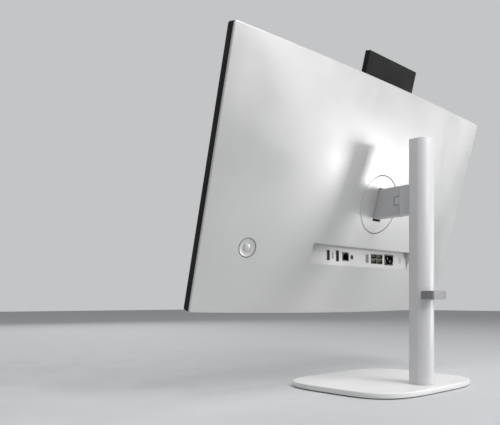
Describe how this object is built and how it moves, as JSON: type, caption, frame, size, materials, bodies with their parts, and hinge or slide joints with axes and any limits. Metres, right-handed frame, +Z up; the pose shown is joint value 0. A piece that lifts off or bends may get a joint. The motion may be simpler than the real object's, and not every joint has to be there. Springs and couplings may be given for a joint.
{
  "type": "all-in-one computer",
  "caption": "Desktop all-in-one computer: thin screen with a domed rear cover on a tilting round hub, a height-adjustable arm on a slim column, a flat base and a pop-up camera.",
  "frame": {"origin": "on the table under the middle of the base", "axes": "+X across the screen, to the right as seen from the front; +Y towards the rear cover; +Z up"},
  "size_m": [0.54, 0.183, 0.4418],
  "materials": {
    "cover_silver": "pale silver satin paint on plastic",
    "base_silver": "pale silver satin paint",
    "column_metal": "satin anodised",
    "arm_grey": "mid-grey satin",
    "frame_dark": "charcoal matte",
    "inner_black": "black matte",
    "socket_black": "black moulded",
    "screen_module": "module of plates and film",
    "foot_rubber": "matte",
    "plate_steel": "plain zinc-plated",
    "chassis_metal": "plain sheet",
    "screen_glass": "polished, dark behind",
    "board_green": "circuit board",
    "cooler_copper": "plain copper"
  },
  "bodies": {
    "stand": {"base_plate": "base_silver", "base_weight": "plate_steel", "foot_front_left": "foot_rubber", "foot_front_right": "foot_rubber", "foot_rear_left": "foot_rubber", "foot_rear_right": "foot_rubber", "column_shell": "column_metal", "column_cap": "arm_grey", "column_foot_block": "plate_steel", "column_bolt_left": "plate_steel", "column_bolt_right": "plate_steel", "column_rail_left": "plate_steel", "column_rail_right": "plate_steel", "cable_clip": "cover_silver"},
    "carriage": {"carriage_block": "plate_steel", "counterbalance_coil": "plate_steel", "arm_core": "plate_steel", "arm_cover_front": "arm_grey", "arm_cover_rear": "arm_grey"},
    "tilt_hub": {"hub_disc": "cover_silver", "hub_drum": "inner_black", "tilt_pin": "plate_steel"},
    "head": {"audio_socket": "socket_black", "blower_housing": "inner_black", "button_switch": "inner_black", "camera_guide": "inner_black", "chassis_plate": "chassis_metal", "cpu_heatsink": "cooler_copper", "data_stack_inner": "socket_black", "data_stack_outer": "socket_black", "display_socket": "socket_black", "front_frame": "frame_dark", "front_glass": "screen_glass", "heat_pipe": "cooler_copper", "hub_mount": "chassis_metal", "lcd_module": "screen_module", "lock_plate": "cover_silver", "mains_inlet": "socket_black", "memory_module": "board_green", "motherboard": "board_green", "network_socket": "socket_black", "option_cover": "arm_grey", "power_supply": "screen_module", "rear_cover": "cover_silver", "slim_socket": "plate_steel", "socket_board": "board_green", "socket_tray": "cover_silver", "solid_state_drive": "board_green", "speaker_left": "inner_black", "speaker_right": "inner_black", "video_socket": "socket_black", "wireless_card": "plate_steel"},
    "camera": {"camera_housing": "frame_dark", "camera_lens": "screen_glass"},
    "button": {"power_button": "cover_silver"},
    "impeller": {"blower_impeller": "frame_dark"}
  },
  "joints": [
    {"name": "height_slide", "type": "slide", "parent": "stand", "child": "carriage", "axis": [0, 0, 1], "range_m": [-0.06, 0.045]},
    {"name": "tilt_hinge", "type": "hinge", "parent": "carriage", "child": "tilt_hub", "pos_m": [0, -0.0126, 0.2492], "axis": [1, 0, 0], "range_deg": [-5, 20]},
    {"name": "pivot_hinge", "type": "hinge", "parent": "tilt_hub", "child": "head", "pos_m": [0, -0.01211, 0.25104], "axis": [0, 0.9659, -0.2588], "range_deg": [-5, 5]},
    {"name": "camera_slide", "type": "slide", "parent": "head", "child": "camera", "axis": [0, 0.2588, 0.9659], "range_m": [-0.0295, 0]},
    {"name": "button_press", "type": "slide", "parent": "head", "child": "button", "axis": [-0.1652, -0.9362, 0.3103], "range_m": [0, 0.001], "stiffness_N_per_m": 600},
    {"name": "blower_spin", "type": "hinge", "parent": "head", "child": "impeller", "pos_m": [0.138, -0.00625, 0.35713], "axis": [0, 0.9659, -0.2588], "continuous": true}
  ]
}
